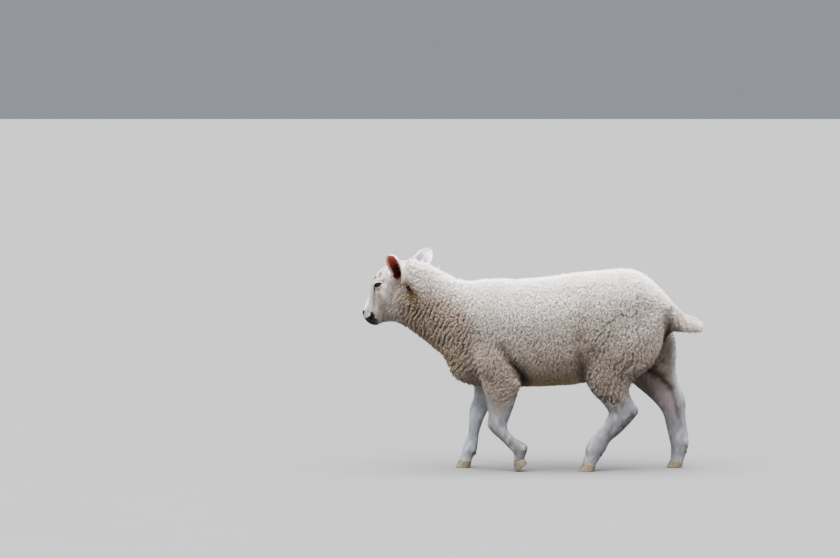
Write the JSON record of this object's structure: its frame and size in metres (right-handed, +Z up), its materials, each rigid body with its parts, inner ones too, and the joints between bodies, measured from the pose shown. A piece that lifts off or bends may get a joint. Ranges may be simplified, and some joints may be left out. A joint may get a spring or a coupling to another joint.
{
  "type": "lamb",
  "caption": "Young white lamb, life size, still, in a slow walk with its head turned slightly away and one forefoot lifting onto its toe; short curly fleece, docked tail, dark lips and eyes.",
  "frame": {"origin": "middle of the bounding box's base, on the floor between the feet", "axes": "-X the way the lamb walks, nose first; +X towards the tail; -Y the lamb's left side; +Z up"},
  "size_m": [0.8582, 0.2245, 0.5521],
  "materials": {
    "fleece": "woolly, matte",
    "face_hair": "short hair, matte",
    "leg_hair": "short hair, matte",
    "ear_skin": "thin-haired skin",
    "eye": "wet, glossy",
    "claw": "horn, satin"
  },
  "bodies": {
    "root": {"trunk": "fleece", "neck": "fleece", "tail": "fleece", "head": "face_hair", "foreleg_left": "leg_hair", "foreleg_right": "leg_hair", "hindleg_left": "leg_hair", "hindleg_right": "leg_hair", "ear_left": "ear_skin", "ear_right": "ear_skin", "eye_left": "eye", "eye_right": "eye", "claw_foreleg_left_lateral": "claw", "claw_foreleg_left_medial": "claw", "claw_foreleg_right_lateral": "claw", "claw_foreleg_right_medial": "claw", "claw_hindleg_left_lateral": "claw", "claw_hindleg_left_medial": "claw", "claw_hindleg_right_lateral": "claw", "claw_hindleg_right_medial": "claw"}
  },
  "joints": []
}
